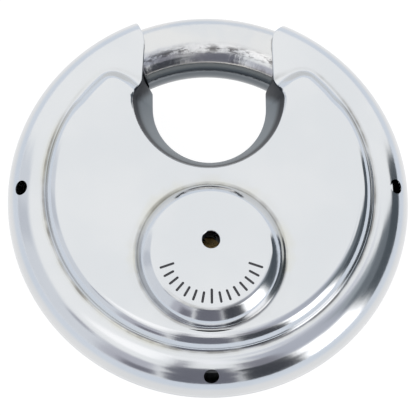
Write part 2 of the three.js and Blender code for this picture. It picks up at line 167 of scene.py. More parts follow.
def profile(slopes):
    """A step in section, from (share of its length, slope in degrees) points, foot first.

    Gives the fraction across and the fraction up at each row."""
    length = np.linspace(0, 1, SECTION_STEPS + 1)
    slope = np.radians(np.interp(length, *zip(*slopes)))
    window = np.hanning(2 * SECTION_SOFTENING + 1)
    padded = np.pad(slope, SECTION_SOFTENING, mode="reflect", reflect_type="odd")
    slope = np.convolve(padded, window / window.sum(), mode="valid")
    across = np.concatenate([[0], np.cumsum(np.cos(slope[1:]))])
    height = np.concatenate([[0], np.cumsum(np.sin(slope[1:]))])
    pick = np.linspace(0, SECTION_STEPS, SECTION_ROWS + 1).astype(int)
    return across[pick] / across[-1], height[pick] / height[-1]


def level_rings(points, z):
    return [[x, y, z] for x, y in points]


# ---- Outline of the face ----------------------------------------------------------------

HORN_COLUMNS = 20              # columns over each horn: round the tip, then straight
TIP_COLUMNS = 12
RING_COLUMNS = 277             # points from tip to tip, round by the bottom
RIM_ROWS = 26


def horn_end(radius, side):
    """Angle where the horn on this side ends, at a given distance from the disc's centre."""
    far, fall = zip(*HORN_EASE[side])
    x = HORN_X + HORN_FILLET + np.interp(radius, far, fall)
    return math.degrees(math.atan2(math.sqrt(radius ** 2 - x ** 2), x))


def rim_row(radius):
    """Angles of one row round the rim, from the left horn's end, by the bottom, to the right's."""
    left_end = 180 - horn_end(radius, -1)
    right_end = 360 + horn_end(radius, 1)
    left = np.linspace(left_end, 180 - TIP_BEARING, HORN_COLUMNS + 1)[:-1]
    middle = np.linspace(180 - TIP_BEARING, 360 + TIP_BEARING, RING_COLUMNS)
    right = np.linspace(360 + TIP_BEARING, right_end, HORN_COLUMNS + 1)[1:]
    return np.concatenate([left, middle, right])


def notch_curve():
    """The edge of the notch in plan, from the left horn's corner round to the right's."""
    corner = np.array([HORN_X + HORN_FILLET, HORN_CORNER_Y])
    end = np.array(SLANT_END)
    slant = [corner + (end - corner) * t for t in np.linspace(0, 1, 12, endpoint=False)]
    arc = [p + [0, NOTCH_Y] for p in polar(NOTCH_RADIUS, np.linspace(-1, -90, 60))]
    right = np.array(slant + arc)
    above = np.array([[corner[0], corner[1] + 0.4 * k] for k in range(6, 0, -1)])
    right = np.concatenate([above, right])
    line = np.concatenate([right * [-1, 1], right[::-1][1:]])
    steps = np.concatenate([[0], np.cumsum(np.linalg.norm(np.diff(line, axis=0), axis=1))])
    even = np.linspace(0, steps[-1], 1200)
    dense = np.stack([np.interp(even, steps, line[:, k]) for k in (0, 1)], axis=1)
    spread = 11
    kernel = np.exp(-0.5 * (np.arange(-3 * spread, 3 * spread + 1) / spread) ** 2)
    kernel /= kernel.sum()
    padded = np.pad(dense, ((3 * spread, 3 * spread), (0, 0)), mode="reflect", reflect_type="odd")
    return np.stack([np.convolve(padded[:, k], kernel, mode="valid") for k in (0, 1)], axis=1)


NOTCH = notch_curve()


def notch_at(y, side):
    """Index on the notch curve where the given side passes y."""
    half = len(NOTCH) // 2
    part = range(half) if side < 0 else range(len(NOTCH) - 1, half, -1)
    return min(part, key=lambda i: abs(NOTCH[i][1] - y))


def crescent_row(across, side_rows):
    """One row of the crescent's step in plan, at a fraction of its width from the foot."""
    inset = PANEL_SLOPE * across
    tip_angles = np.linspace(TIP_BEARING, TIP_LEAVES, TIP_COLUMNS + 1)
    tip = polar(TIP_RADIUS - inset, tip_angles) + [TIP_X, TIP_Y]
    heading = polar(1.0, TIP_LEAVES + 90)
    start = tip[-1]
    halves = {}
    for side in (-1, 1):
        end = NOTCH[side_rows[side]] * [side, 1]
        reach = np.linalg.norm(end - start)
        bend = start + heading * reach * 0.45
        t = np.linspace(0, 1, HORN_COLUMNS - TIP_COLUMNS + 1)[1:, None]
        straight = (1 - t) ** 2 * start + 2 * t * (1 - t) * bend + t ** 2 * end
        halves[side] = np.concatenate([tip, straight]) * [side, 1]
    middle = polar(PANEL_RADIUS - inset, np.linspace(180 - TIP_BEARING, 360 + TIP_BEARING, RING_COLUMNS))
    return np.concatenate([halves[-1][::-1], middle[1:-1], halves[1]])


# ---- A drawn half shell -----------------------------------------------------------------

def fillet_strip(sheet, chain, fillet, bottoms):
    """Rolls the face's edge over into a wall, and takes the wall down to the seam.

    chain holds (point, surface normal, direction into the opening)."""
    rows = []
    for step in np.linspace(0, 1, 7):
        turn = step * math.radians(80)
        row = []
        for (point, normal, out), radius in zip(chain, fillet):
            across = out - normal * np.dot(out, normal)
            across /= np.linalg.norm(across)
            moved = point + across * radius * math.sin(turn) - normal * radius * (1 - math.cos(turn))
            moved[2] = max(moved[2], 0.0)
            row.append(moved)
        rows.append(row)
    top = rows[-1]
    for step in np.linspace(0, 1, 9)[1:]:
        drop = np.array([step ** 0.9, step ** 0.9, step])
        rows.append([a + (b - a) * drop for a, b in zip(top, bottoms)])
    sheet.grid(rows)


def lip_point(x, y):
    """The foot of the notch's wall at the seam, below a point of its edge."""
    if y > LIP["y"]:
        side = -1 if x < 0 else 1
        edge = LIP["x"] + side * LIP["radius"]
        share = np.clip((y - LIP["y"]) / (LIP["top"] - LIP["y"]), 0, 1)
        return np.array([edge, LIP["y"] + (LIP["top"] - LIP["y"]) * share, 0.0])
    away = np.array([x, y - NOTCH_Y])
    away *= LIP["radius"] / np.linalg.norm(away)
    return np.array([LIP["x"] + away[0], LIP["y"] + away[1], 0.0])


def half_sheet(boss):
    """The outer skin of one half: rim, step, panel, boss, notch and horn ends, seam at z 0."""
    sheet = Sheet()
    # Rim.
    rim_rows = []
    start_angle = math.asin(SEAM_ROUND / RIM_HEIGHT)
    eased = [(-0.14, 0.0), (-0.05, 0.04), (-0.012, 0.09)]
    angles = np.linspace(start_angle, math.pi / 2, RIM_ROWS)
    section = [(DISC_RADIUS + back, z) for back, z in eased]
    section += [(RIM_INNER + RIM_WIDTH * math.cos(a), RIM_HEIGHT * math.sin(a)) for a in angles]
    for radius, z in section:
        rim_rows.append(level_rings(polar(radius, rim_row(radius)), z))
    sheet.grid(rim_rows)
    # Level ground between the rim and the crescent's foot.
    across, height = profile(PANEL_SECTION)
    height *= PANEL_HEIGHT - RIM_HEIGHT
    level = [1.045, 1.09]
    across = np.concatenate([across, level])
    height = np.concatenate([height, [height[-1]] * len(level)]) + RIM_HEIGHT
    foot = {side: notch_at(HORN_CORNER_Y, side) for side in (-1, 1)}
    shoulder = {side: notch_at(SLANT_END[1], side) for side in (-1, 1)}
    steps = []
    for share in across:
        ends = {side: int(round(foot[side] + (shoulder[side] - foot[side]) * share / across[-1]))
                for side in (-1, 1)}
        steps.append(crescent_row(share, ends))
    inner = np.array(rim_rows[-1])[:, :2]
    outer_foot = steps[0]
    land = [level_rings(inner + (outer_foot - inner) * t, RIM_HEIGHT) for t in np.linspace(0, 1, 7)]
    sheet.grid(land)
    # The step up to the panel.
    soft = np.clip((steps[0][:, 1] - 11) / 6, 0, 1) ** 2
    step_rows = []
    for row, share, z in zip(steps, np.clip(across, 0, 1), height):
        eased_z = RIM_HEIGHT + (PANEL_HEIGHT - RIM_HEIGHT) * share * share * (3 - 2 * share)
        step_rows.append([[*p, z + (eased_z - z) * k] for p, k in zip(row, soft)])
    sheet.grid(step_rows)
    # The panel's flat, up to a strip along the notch and a ring round the boss.
    between = NOTCH[shoulder[-1]:shoulder[1] + 1]
    count = 120
    pick = np.linspace(0, len(between) - 1, count + 1).astype(int)
    edge = between[pick]
    tangent = np.gradient(edge, axis=0)
    outward = np.stack([tangent[:, 1], -tangent[:, 0]], axis=1)
    outward /= np.linalg.norm(outward, axis=1)[:, None]
    guard = edge + outward * 0.35
    guard[0] = step_rows[-1][1][:2]
    guard[-1] = step_rows[-1][-2][:2]
    sheet.grid([level_rings(edge, PANEL_HEIGHT), level_rings(guard, PANEL_HEIGHT)], flip=True)
    boss_foot, boss_flat = boss
    rise = HALF_THICKNESS - PANEL_HEIGHT
    boss_across, boss_height = profile(BOSS_SECTION if boss == REAR_BOSS else FRONT_SECTION)
    boss_height *= rise
    ring_angles = np.linspace(0, 360, 161)[:-1]
    centre = np.array([0, BOSS_Y])
    boss_rows = [level_rings(polar(boss_foot + 0.3, ring_angles) + centre, PANEL_HEIGHT)]
    for share, z in zip(boss_across, boss_height):
        radius = boss_foot - (boss_foot - boss_flat) * share
        boss_rows.append(level_rings(polar(radius, ring_angles) + centre, PANEL_HEIGHT + z))
    boss_rows.append(level_rings(polar(boss_flat - 0.3, ring_angles) + centre, HALF_THICKNESS))
    sheet.grid(boss_rows, closed=True)
    fill_flat(sheet, np.array(step_rows[-1])[1:-1, :2], guard, np.array(boss_rows[0])[:, :2])
    fill_disc(sheet, np.array(boss_rows[-1])[:, :2], HALF_THICKNESS)
    # Horn ends and the notch's wall, along one chain of edge points.
    chain = []
    fillet = []
    bottoms = []

    def link(point, normal, out, radius):
        point = np.array(point, float)
        normal = np.array(normal, float)
        chain.append((point, normal / np.linalg.norm(normal), np.array([*out, 0.0])))
        fillet.append(radius)

    def horn(side):
        column = 0 if side < 0 else -1
        up = [row[column] for row in rim_rows]
        for point in up:
            x, y, z = point
            radius = math.hypot(x, y)
            cos = np.clip((radius - RIM_INNER) / RIM_WIDTH, 0, 1)
            slope = (cos / RIM_WIDTH, math.sqrt(max(0.0, 1 - cos ** 2)) / RIM_HEIGHT)
            yield point, (x / radius * slope[0], y / radius * slope[0], slope[1]), (-side, 0), 0
        for row in land[1:]:
            yield row[column], (0, 0, 1), (-side, 0), 0
        for row in step_rows[1:]:
            yield row[column], (0, 0, 1), None, 1

    def opening(point):
        """Direction from the notch's edge into the opening."""
        nearest = int(np.argmin(np.linalg.norm(NOTCH - point[:2], axis=1)))
        low, high = NOTCH[max(nearest - 6, 0)], NOTCH[min(nearest + 6, len(NOTCH) - 1)]
        along = (high - low) / np.linalg.norm(high - low)
        return np.array([-along[1], along[0]])

    def add(items):
        for point, normal, out, share in items:
            point = np.array(point, float)
            if out is None:
                out = opening(point)
            grown = np.clip((HORN_CORNER_Y - point[1]) / 4.0, 0, 1) if share else 0.0
            link(point, normal, out, HORN_FILLET + (NOTCH_FILLET - HORN_FILLET) * grown)

    left = list(horn(-1))
    right = list(horn(1))
    add(left)
    add([([*p, PANEL_HEIGHT], (0, 0, 1), None, 1) for p in edge[1:-1]])
    add(right[::-1])
    for (point, normal, out), radius in zip(chain, fillet):
        edge_foot = point + out * radius
        if point[1] > HORN_CORNER_Y + 1.5:
            bottoms.append(np.array([edge_foot[0], edge_foot[1], 0.0]))
            continue
        lip = lip_point(*edge_foot[:2])
        blend = np.clip((HORN_CORNER_Y + 1.5 - point[1]) / 2.0, 0, 1)
        blend = blend * blend * (3 - 2 * blend)
        plumb = np.array([edge_foot[0], edge_foot[1], 0.0])
        bottoms.append(plumb + (lip - plumb) * blend)
    fillet_strip(sheet, chain, fillet, bottoms)
    return sheet


def inside_polygon(points, polygon):
    """Which points lie inside the polygon, in plan."""
    x, y = points[:, 0], points[:, 1]
    inside = np.zeros(len(points), bool)
    for (x0, y0), (x1, y1) in zip(polygon, np.roll(polygon, -1, axis=0)):
        crosses = (y0 > y) != (y1 > y)
        with np.errstate(divide="ignore", invalid="ignore"):
            at = (x1 - x0) * (y - y0) / (y1 - y0) + x0
        inside ^= crosses & (x < at)
    return inside


def fill_flat(sheet, outer, guard, hole):
    """Triangles over the panel's flat, with a hole for the boss."""
    outline = np.concatenate([outer, guard[1:-1][::-1]])
    count, ring = len(outline), len(hole)
    edges = [(i, (i + 1) % count) for i in range(count)]
    edges += [(count + i, count + (i + 1) % ring) for i in range(ring)]
    pitch = 1.3
    span = np.arange(-DISC_RADIUS, DISC_RADIUS, pitch)
    lattice = np.array([(x + (0.5 * pitch if row % 2 else 0), y * 0.87)
                        for row, y in enumerate(span * 1.15) for x in span])
    keep = inside_polygon(lattice, outline)
    keep &= np.linalg.norm(lattice - [0, BOSS_Y], axis=1) > np.linalg.norm(hole[0] - [0, BOSS_Y]) + 0.6
    border = np.concatenate([outline, hole])
    lattice = lattice[keep]
    near = np.linalg.norm(lattice[:, None] - border[None], axis=2).min(axis=1)
    lattice = lattice[near > 0.65]
    points = [Vector(p) for p in np.concatenate([border, lattice])]
    made = delaunay_2d_cdt(points, edges, [], 0, 1e-6)
    corners = np.array([[*p] for p in made[0]])
    centres = np.array([corners[list(f)].mean(axis=0) for f in made[2]])
    wanted = inside_polygon(centres, outline) & ~inside_polygon(centres, hole)
    for tri, want in zip(made[2], wanted):
        if want:
            sheet.face([sheet.vertex([*corners[i], PANEL_HEIGHT]) for i in tri])


def fill_disc(sheet, ring, z):
    """Rings of quads inward over a round flat, and a fan in its middle."""
    centre = ring.mean(axis=0)
    rows = [level_rings(centre + (ring - centre) * t, z) for t in (1, 0.8, 0.6, 0.4, 0.2, 0.06)]
    sheet.grid(rows, closed=True)
    hub = sheet.vertex([*centre, z])
    last = [sheet.vertex(p) for p in rows[-1]]
    for i, corner in enumerate(last):
        sheet.face([corner, last[(i + 1) % len(last)], hub])


def vertex_normals(points, faces):
    """Unit normals, each face round a vertex counting alike."""
    normals = np.zeros_like(points)
    for face in faces:
        corners = points[face]
        normal = np.zeros(3)
        for i in range(1, len(face) - 1):
            normal += np.cross(corners[i] - corners[0], corners[i + 1] - corners[0])
        size = np.linalg.norm(normal)
        if size > 0:
            for v in face:
                normals[v] += normal / size
    lengths = np.linalg.norm(normals, axis=1)
    return normals / np.maximum(lengths, 1e-9)[:, None]


def thickened(sheet, wall):
    """A closed skin of the given wall from an open sheet, its edges closed at the seam."""
    points = np.array(sheet.points)
    normals = vertex_normals(points, sheet.faces)
    near_seam = points[:, 2] < 0.2
    normals[near_seam, 2] = 0.0
    normals[near_seam] /= np.linalg.norm(normals[near_seam], axis=1)[:, None]
    inner = points - normals * wall
    inner[:, 2] = np.maximum(inner[:, 2], 0.0)
    seam = points[:, 2] < 1e-6
    inner[seam, 2] = 0.0
    count = len(points)
    faces = [list(f) for f in sheet.faces]
    faces += [[v + count for v in reversed(f)] for f in sheet.faces]
    used = {}
    for face in sheet.faces:
        for a, b in zip(face, face[1:] + face[:1]):
            used[(a, b)] = True
    for a, b in used:
        if (b, a) not in used:
            faces.append([b, a, a + count, b + count])
    return np.concatenate([points, inner]), faces


def new_object(name, points, faces):
    mesh = bpy.data.meshes.new(name)
    mesh.from_pydata([tuple(p * MM) for p in np.asarray(points, float)], [], faces)
    mesh.update()
    made = bpy.data.objects.new(name, mesh)
    bpy.context.scene.collection.objects.link(made)
    return made


# ---- Cutters ----------------------------------------------------------------------------

def lathe(name, section, sides=48):
    """A closed turned solid about Z from (radius, height) points, flat at both ends."""
    sheet = Sheet()
    angles = np.linspace(0, 360, sides + 1)[:-1]
    rings = [level_rings(polar(r, angles), z) for r, z in section]
    sheet.grid(rings, closed=True)
    bottom = [sheet.vertex(p) for p in rings[0]]
    top = [sheet.vertex(p) for p in rings[-1]]
    sheet.face(bottom[::-1])
    sheet.face(top)
    return new_object(name, sheet.points, sheet.faces)


def mouth_cutter(start, end, steps=28, sides=56):
    """A length of the bar's bore, bent to the rim's circle, with flat ends."""
    sheet = Sheet()
    rows = []
    for angle in np.linspace(start, end, steps):
        row = []
        for turn in np.linspace(0, 360, sides + 1)[:-1]:
            out, up = polar(BAR_RADIUS + BAR_CLEARANCE, turn)
            x, y = polar(BAR_RING + out, angle)
            row.append([x, y, up])
        rows.append(row)
    sheet.grid(rows, closed=True)
    sheet.face([sheet.vertex(p) for p in rows[0]])
    sheet.face([sheet.vertex(p) for p in rows[-1]][::-1])
    return new_object("mouth", sheet.points, sheet.faces)


def outward(obj):
    """Turns every face of a closed mesh outwards."""
    made = bmesh.new()
    made.from_mesh(obj.data)
    bmesh.ops.recalc_face_normals(made, faces=made.faces)
    made.to_mesh(obj.data)
    made.free()
    return obj


def cut(target, cutters):
    """Takes the cutters, which stay clear of each other, away from the target."""
    points, faces = [], []
    for cutter in cutters:
        outward(cutter)
        start = len(points)
        points += [v.co / MM for v in cutter.data.vertices]
        faces += [[start + v for v in polygon.vertices] for polygon in cutter.data.polygons]
        bpy.data.objects.remove(cutter)
    tool = new_object("tool", points, faces)
    modifier = target.modifiers.new("cut", "BOOLEAN")
    modifier.operation = "DIFFERENCE"
    modifier.solver = "EXACT"
    modifier.object = tool
    graph = bpy.context.evaluated_depsgraph_get()
    mesh = bpy.data.meshes.new_from_object(target.evaluated_get(graph))
    target.modifiers.clear()
    old = target.data
    target.data = mesh
    bpy.data.meshes.remove(old)
    mesh.name = target.name
    bpy.data.objects.remove(tool)


def placed(obj, matrix):
    """Moves a cutter by a matrix in millimetres."""
    obj.data.transform(Matrix.Diagonal((MM, MM, MM, 1)) @ matrix @ Matrix.Diagonal((1 / MM,) * 3 + (1,)))
    return obj


def face_drill(radius, ease):
    """A drill on the plug's axis that widens a little where it meets the face."""
    wide = radius + ease * 1.4
    section = [(radius, 5), (radius, HALF_THICKNESS - ease), (wide, HALF_THICKNESS + ease * 0.4),
               (wide + 0.5, HALF_THICKNESS + 3)]
    return placed(lathe("drill", section), Matrix.Translation((0, PLUG_Y, 0)))


def rim_hole_cutter(degrees):
    """A drill square to the rim's slope."""
    drill = lathe("drill", [(RIM_HOLE["radius"], -5), (RIM_HOLE["radius"], 3)], sides=40)
    turn = (Matrix.Rotation(math.radians(degrees), 4, "Z")
            @ Matrix.Translation((RIM_HOLE["ring"], 0, RIM_HOLE["height"]))
            @ Matrix.Rotation(math.radians(RIM_HOLE["tilt"]), 4, "Y"))
    return placed(drill, turn)


def mouth_cutters():
    return [mouth_cutter(*arc) for arc in MOUTH_ARCS]


def stroke_cutter(inner, outer_edge):
    """A groove with round ends and sloping sides, along X, its rim at height 0."""
    sheet = Sheet()
    rings = []
    for half, z in ((TICK["foot"], -TICK["depth"]), (TICK["half"], 0.0), (TICK["half"] * 1.6, 0.6)):
        right = polar(half, np.linspace(-90, 90, 9)) + [outer_edge, 0]
        left = polar(half, np.linspace(90, 270, 9)) + [inner, 0]
        rings.append(level_rings(np.concatenate([right, left]), z))
    sheet.grid(rings, closed=True)
    sheet.face([sheet.vertex(p) for p in rings[0]][::-1])
    sheet.face([sheet.vertex(p) for p in rings[-1]])
    return new_object("stroke", sheet.points, sheet.faces)


def tick_cutters():
    """Short plain strokes round the lower half of the boss, where a maker's wording would be."""
    cutters = []
    for index, angle in enumerate(np.linspace(*TICK["angles"], TICK["count"])):
        reach = TICK["long"] if index % TICK["long_every"] == 0 else TICK["short"]
        turn = (Matrix.Translation((0, BOSS_Y, HALF_THICKNESS))
                @ Matrix.Rotation(math.radians(angle), 4, "Z"))
        cutters.append(placed(stroke_cutter(*reach), turn))
    return cutters


# ---- Materials --------------------------------------------------------------------------

class Shader:
    """A material's node tree, with short ways to add nodes to it."""

    def __init__(self, name):
        self.material = bpy.data.materials.new(name)
        self.material.use_nodes = True
        self.tree = self.material.node_tree
        self.tree.nodes.clear()
        self.bsdf = self.tree.nodes.new("ShaderNodeBsdfPrincipled")
        output = self.tree.nodes.new("ShaderNodeOutputMaterial")
        self.link(self.bsdf.outputs["BSDF"], output.inputs["Surface"])

    def link(self, a, b):
        self.tree.links.new(a, b)

    def put(self, socket, value):
        if isinstance(value, bpy.types.NodeSocket):
            self.link(value, socket)
        else:
            socket.default_value = value

    def node(self, kind, values=(), **settings):
        made = self.tree.nodes.new(kind)
        for key, value in settings.items():
            setattr(made, key, value)
        for key, value in dict(values).items():
            self.put(made.inputs[key], value)
        return made

    def math(self, operation, a, b=0.0, c=0.0):
        return self.node("ShaderNodeMath", {0: a, 1: b, 2: c}, operation=operation).outputs[0]

    def attribute(self, name):
        return self.node("ShaderNodeAttribute", attribute_name=name).outputs["Fac"]

    def where(self):
        return self.node("ShaderNodeTexCoord").outputs["Object"]

    def noise(self, vector, scale, detail=3.0, roughness=0.5):
        values = {"Vector": vector, "Scale": scale, "Detail": detail, "Roughness": roughness}
        return self.node("ShaderNodeTexNoise", values).outputs["Fac"]

    def span(self, value, low, high, to_low=0.0, to_high=1.0):
        values = {"Value": value, "From Min": low, "From Max": high, "To Min": to_low, "To Max": to_high}
        return self.node("ShaderNodeMapRange", values, interpolation_type="SMOOTHSTEP").outputs[0]

    def blend(self, share, a, b):
        made = self.node("ShaderNodeMix", data_type="RGBA")
        self.put(made.inputs[0], share)
        self.put(made.inputs[6], a)
        self.put(made.inputs[7], b)
        return made.outputs[2]

    def bump(self, height, strength, distance, base=None):
        values = {"Height": height, "Strength": strength, "Distance": distance}
        if base is not None:
            values["Normal"] = base
        return self.node("ShaderNodeBump", values).outputs["Normal"]

    def finish(self, colour, roughness, normal=None, metallic=1.0):
        self.put(self.bsdf.inputs["Base Color"], colour)
        self.put(self.bsdf.inputs["Roughness"], roughness)
        self.bsdf.inputs["Metallic"].default_value = metallic
        if normal is not None:
            self.put(self.bsdf.inputs["Normal"], normal)
        return self.material

    def ringwise(self, along, across):
        """Coordinates that run round the disc: slow along the circle, fast across it."""
        place = self.where()
        flat = self.node("ShaderNodeVectorMath", {0: place, 1: (1, 1, 0)}, operation="MULTIPLY").outputs[0]
        unit = self.node("ShaderNodeVectorMath", {0: flat}, operation="NORMALIZE").outputs[0]
        slow = self.node("ShaderNodeVectorMath", {0: unit, "Scale": along}, operation="SCALE").outputs[0]
        far = self.node("ShaderNodeVectorMath", {0: flat}, operation="LENGTH").outputs["Value"]
        height = self.node("ShaderNodeSeparateXYZ", {0: place}).outputs["Z"]
        third = self.math("MULTIPLY", self.math("SUBTRACT", far, height), across)
        parts = self.node("ShaderNodeSeparateXYZ", {0: slow}).outputs
        return self.node("ShaderNodeCombineXYZ", {0: parts[0], 1: parts[1], 2: third}).outputs[0]


def polished_steel():
    """Drawn and polished sheet: near-mirror flats, fine marks round the rim, dirt and painted shade in the
    creases, painted shade on the notch's walls.
    """
    s = Shader("polished_stainless")
    place = s.where()
    cloud = s.noise(place, 60.0, 4.0, 0.55)
    streak = s.noise(s.ringwise(3.0, 2600.0), 1.0, 2.0, 0.6)
    dirt_and_painted_shade = s.attribute("dirt_and_painted_shade")
    wall = s.attribute("wall")
    clean = s.blend(s.span(cloud, 0.35, 0.65), (0.605, 0.615, 0.625, 1), (0.635, 0.64, 0.645, 1))
    # Painted shade: the notch's walls are darkened, and a near-black painted band runs along them near the
    # face's edge and low in the notch.
    shaded_walls = s.blend(wall, clean, (0.215, 0.245, 0.272, 1))
    shaded_walls = s.blend(s.attribute("painted_dark_band"), shaded_walls, (0.035, 0.04, 0.05, 1))
    # Painted shade with dirt: the creases at the crescent's and the boss's feet go dark brown, and the
    # boss's shoulder darkens on its side towards -Y.
    patchy_dirt_and_shade = s.math("MULTIPLY", dirt_and_painted_shade, s.span(s.noise(place, 190.0, 3.0), 0.3, 0.7, 0.25, 1.0))
    stain = s.math("MULTIPLY", s.attribute("stain"), s.span(s.noise(place, 150.0, 4.0), 0.35, 0.65))
    stained = s.blend(stain, shaded_walls, (0.62, 0.60, 0.50, 1))
    colour = s.blend(patchy_dirt_and_shade, stained, (0.13, 0.12, 0.10, 1))
    colour = s.blend(s.attribute("engraved"), colour, (0.07, 0.07, 0.075, 1))
    rough = s.math("ADD", s.span(cloud, 0.3, 0.7, 0.085, 0.14), s.math("MULTIPLY", streak, 0.03))
    rough = s.math("ADD", rough, s.math("MULTIPLY", wall, 0.38))
    rough = s.math("ADD", rough, s.math("MULTIPLY", patchy_dirt_and_shade, 0.15))
    fine = s.noise(place, 1400.0, 2.0, 0.6)
    swell = s.noise(place, 95.0, 2.0, 0.5)
    normal = s.bump(fine, 0.12, 0.00002)
    normal = s.bump(streak, 0.06, 0.00003, normal)
    normal = s.bump(swell, 0.10, 0.0003, normal)
    return s.finish(colour, rough, normal)


def bar_steel():
    """Hardened and plated bar: drawn marks run along its length, with painted reflections and painted shade
    along it.
    """
    s = Shader("hardened_bar_steel")
    place = s.where()
    streak = s.noise(s.ringwise(26.0, 1500.0), 1.0, 4.0, 0.65)
    cloud = s.noise(place, 120.0, 3.0)
    bright = s.blend(s.span(cloud, 0.35, 0.65), (0.59, 0.60, 0.61, 1), (0.64, 0.635, 0.625, 1))
    drawn = s.span(s.noise(s.ringwise(7.0, 1500.0), 1.0, 5.0, 0.7), 0.44, 0.58)
    # Painted reflections: a dark streak along the bar, broken up by its drawn marks, and a pale warm band
    # further round towards the underside.
    with_painted_reflections = s.blend(s.math("MULTIPLY", drawn, s.attribute("painted_dark_streak")), bright, (0.12, 0.115, 0.115, 1))
    with_painted_reflections = s.blend(s.attribute("painted_light_band"), with_painted_reflections, (0.86, 0.81, 0.74, 1))
    # Painted shade: the bar's underside is darkened, and the side towards the notch is darker still.
    colour = s.blend(s.attribute("painted_shade_under"), with_painted_reflections, (0.25, 0.265, 0.285, 1))
    colour = s.blend(s.attribute("inner"), colour, (0.135, 0.15, 0.165, 1))
    rough = s.math("ADD", s.span(cloud, 0.3, 0.7, 0.08, 0.15), s.math("MULTIPLY", streak, 0.05))
    normal = s.bump(streak, 0.35, 0.00008)
    normal = s.bump(s.noise(place, 900.0, 2.0), 0.15, 0.00002, normal)
    return s.finish(colour, rough, normal)


def turned_metal(name, light, dark, rough_low, rough_high, grain=2200.0):
    """Machined or cast metal: tone and roughness drift over it, with fine tool marks."""
    s = Shader(name)
    place = s.where()
    cloud = s.noise(place, 260.0, 4.0, 0.6)
    colour = s.blend(s.span(cloud, 0.35, 0.65), light, dark)
    rough = s.span(s.noise(place, 420.0, 3.0), 0.3, 0.7, rough_low, rough_high)
    normal = s.bump(s.noise(place, grain, 3.0), 0.25, 0.00004)
    return s.finish(colour, rough, normal)


STEEL = polished_steel()
BAR = bar_steel()
BRASS = turned_metal("machined_brass", (0.86, 0.62, 0.28, 1), (0.66, 0.45, 0.19, 1), 0.22, 0.42)
PLAIN = turned_metal("plain_steel", (0.52, 0.53, 0.55, 1), (0.40, 0.41, 0.43, 1), 0.28, 0.48)
SPRING = turned_metal("spring_steel", (0.62, 0.63, 0.65, 1), (0.46, 0.46, 0.47, 1), 0.2, 0.4)
ZINC = turned_metal("cast_zinc", (0.36, 0.37, 0.38, 1), (0.25, 0.26, 0.27, 1), 0.5, 0.75, 700.0)


# ---- Shells -----------------------------------------------------------------------------

def paint(obj):
    """Marks dirt and painted shade in the creases, painted shade on the notch's walls, and the strokes."""
    mesh = obj.data
    count = len(mesh.vertices)
    places = np.empty(count * 3)
    mesh.vertices.foreach_get("co", places)
    places = places.reshape(-1, 3) / MM
    x, y = places[:, 0], places[:, 1]
    z = np.abs(places[:, 2] - SEAM_Z)
    foot = crescent_row(0.03, {side: notch_at(HORN_CORNER_Y, side) for side in (-1, 1)})
    starts, spans = foot[:-1], np.diff(foot, axis=0)
    away = np.full(count, 9.0)
    near_face = np.flatnonzero(z > RIM_HEIGHT - 0.8)
    for part in np.array_split(near_face, 40):
        offset = places[part, None, :2] - starts[None]
        share = np.clip((offset * spans).sum(axis=2) / (spans ** 2).sum(axis=1), 0, 1)
        away[part] = np.linalg.norm(offset - share[..., None] * spans, axis=2).min(axis=1)
    # Dirt and painted shade: a dark line along the crescent's foot and a ring round the boss's foot, with
    # painted shade on the boss's shoulder towards -Y only.
    groove = np.exp(-(away / 0.24) ** 2)
    ring = np.hypot(x, y - BOSS_Y)
    boss = np.exp(-((ring - REAR_BOSS[0] + 0.15) / 0.28) ** 2) * (z < PANEL_HEIGHT + 1.2)
    shaded_brink = np.exp(-((ring - REAR_BOSS[1] - 0.35) / 0.2) ** 2) * np.clip((BOSS_Y - 6 - y) / 3, 0, 1)
    boss += 0.9 * shaded_brink * (z > PANEL_HEIGHT + 1.5)
    # Painted shade on the notch's walls, with a near-black painted band near the face's edge that also
    # darkens the walls low in the notch.
    wall = np.zeros(count)
    near_notch = np.flatnonzero((y > 0) & (y < 24) & (np.abs(x) < NOTCH_RADIUS) & (z < PANEL_HEIGHT - 0.5))
    inside = near_notch[inside_polygon(places[near_notch], NOTCH[::6])]
    edge_away = np.linalg.norm(places[inside, None, :2] - NOTCH[None, ::6], axis=2).min(axis=1)
    wall[inside] = edge_away > 0.25
    painted_dark_band = np.zeros(count)
    low_down = 0.36 * np.clip((9 - y[inside]) / 4, 0, 1)
    painted_dark_band[inside] = wall[inside] * np.maximum(np.clip((2.1 - edge_away) / 0.7, 0, 1), low_down)
    engraved = (ring < REAR_BOSS[1] - 0.3) & (z > HALF_THICKNESS - 0.3) & (z < HALF_THICKNESS - 0.1)
    stain = np.exp(-(away / 0.6) ** 2) * (x < 5)
    stain += np.exp(-((ring - REAR_BOSS[0]) / 0.5) ** 2) * (y > BOSS_Y - 3)
    kept = np.where(x < 0, np.clip((16 - y) / 8, 0.15, 1), np.clip((22 - y) / 3, 0.15, 1))
    values = {"dirt_and_painted_shade": np.clip(groove * 0.9 * kept + boss * 0.75, 0, 1), "wall": wall, "painted_dark_band": painted_dark_band,
              "engraved": np.where(engraved, 1.0, 0.0), "stain": np.clip(stain * kept * 0.6, 0, 1)}
    for name, data in values.items():
        layer = mesh.attributes.new(name, "FLOAT", "POINT")
        layer.data.foreach_set("value", data.astype(np.float32))


def smooth(obj, angle=38):
    mesh = obj.data
    mesh.polygons.foreach_set("use_smooth", [True] * len(mesh.polygons))
    mesh.set_sharp_from_angle(angle=math.radians(angle))


def shell(name, boss, cutters, mirrored):
    points, faces = thickened(half_sheet(boss), WALL)
    made = new_object(name, points, faces)
    cut(made, cutters)
    if mirrored:
        made.data.transform(Matrix.Diagonal((1, 1, -1, 1)))
        made.data.flip_normals()
    made.data.transform(Matrix.Translation((0, 0, SEAM_Z * MM)))
    paint(made)
    smooth(made)
    made.data.materials.clear()
    made.data.materials.append(STEEL)
    return made


